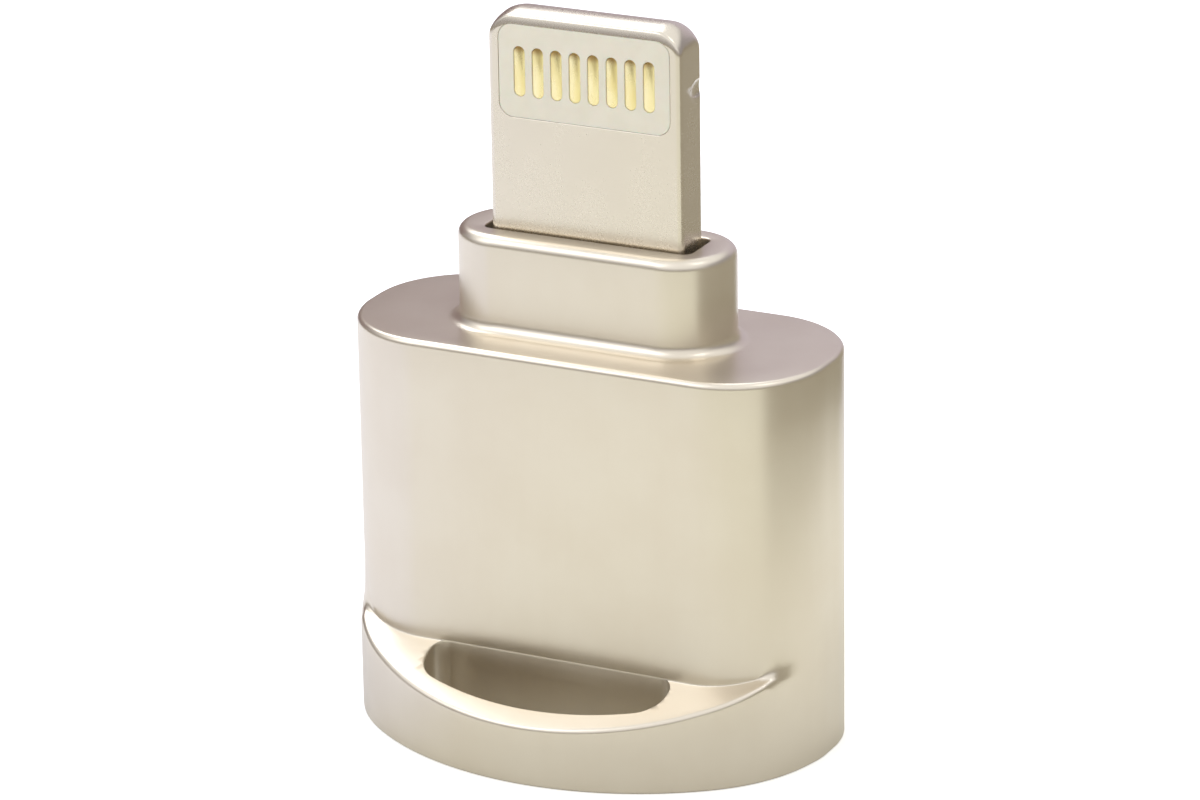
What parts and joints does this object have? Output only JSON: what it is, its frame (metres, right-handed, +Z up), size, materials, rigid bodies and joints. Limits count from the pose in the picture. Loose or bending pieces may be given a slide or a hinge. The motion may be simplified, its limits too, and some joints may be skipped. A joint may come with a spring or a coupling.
{
  "type": "microsd card reader",
  "caption": "Small metal card reader: a flat phone plug on an oval collar, a satin body with a card slot below, and a bowed lip with a lanyard hole.",
  "frame": {"origin": "where the plug's axis meets the plane of the foot", "axes": "+Z up along the plug, +X across the plug's width, -Y to the front, where the lip is"},
  "size_m": [0.016, 0.01, 0.0233],
  "materials": {
    "shell_metal": "fine bead-blasted, anodised satin champagne",
    "plug_metal": "fine satin plating, pale champagne",
    "cream_insulator": "smooth moulded cream plastic",
    "contact_gold": "gold plated, softly polished",
    "board": "green solder mask on glass-fibre board",
    "chip_black": "matt black moulded package",
    "crystal_can": "bright plated lid",
    "inductor_core": "dark grey sintered core",
    "capacitor_body": "tan ceramic with tinned ends",
    "resistor_body": "black film on ceramic with tinned ends",
    "socket_black": "black moulded plastic",
    "socket_sheet": "bright nickel-plated sheet",
    "spring_gold": "gold-plated sprung strip",
    "sleeve_black": "fine matt black moulded plastic",
    "cap_black": "fine spark-eroded matt black plastic"
  },
  "bodies": {
    "root": {"shell": "shell_metal", "plug_frame": "plug_metal", "front_contact_carrier": "cream_insulator", "back_contact_carrier": "cream_insulator", "front_contacts": "contact_gold", "back_contacts": "contact_gold", "plug_board": "board", "main_board": "board", "controller_chip": "chip_black", "bridge_chip": "chip_black", "memory_chip": "chip_black", "voltage_regulator": "chip_black", "crystal": "crystal_can", "inductor": "inductor_core", "capacitors": "capacitor_body", "resistors": "resistor_body", "socket_base": "socket_black", "socket_cover": "socket_sheet", "socket_contacts": "spring_gold", "card_detect_spring": "spring_gold", "insulating_sleeve": "sleeve_black", "bottom_cap": "cap_black"}
  },
  "joints": []
}
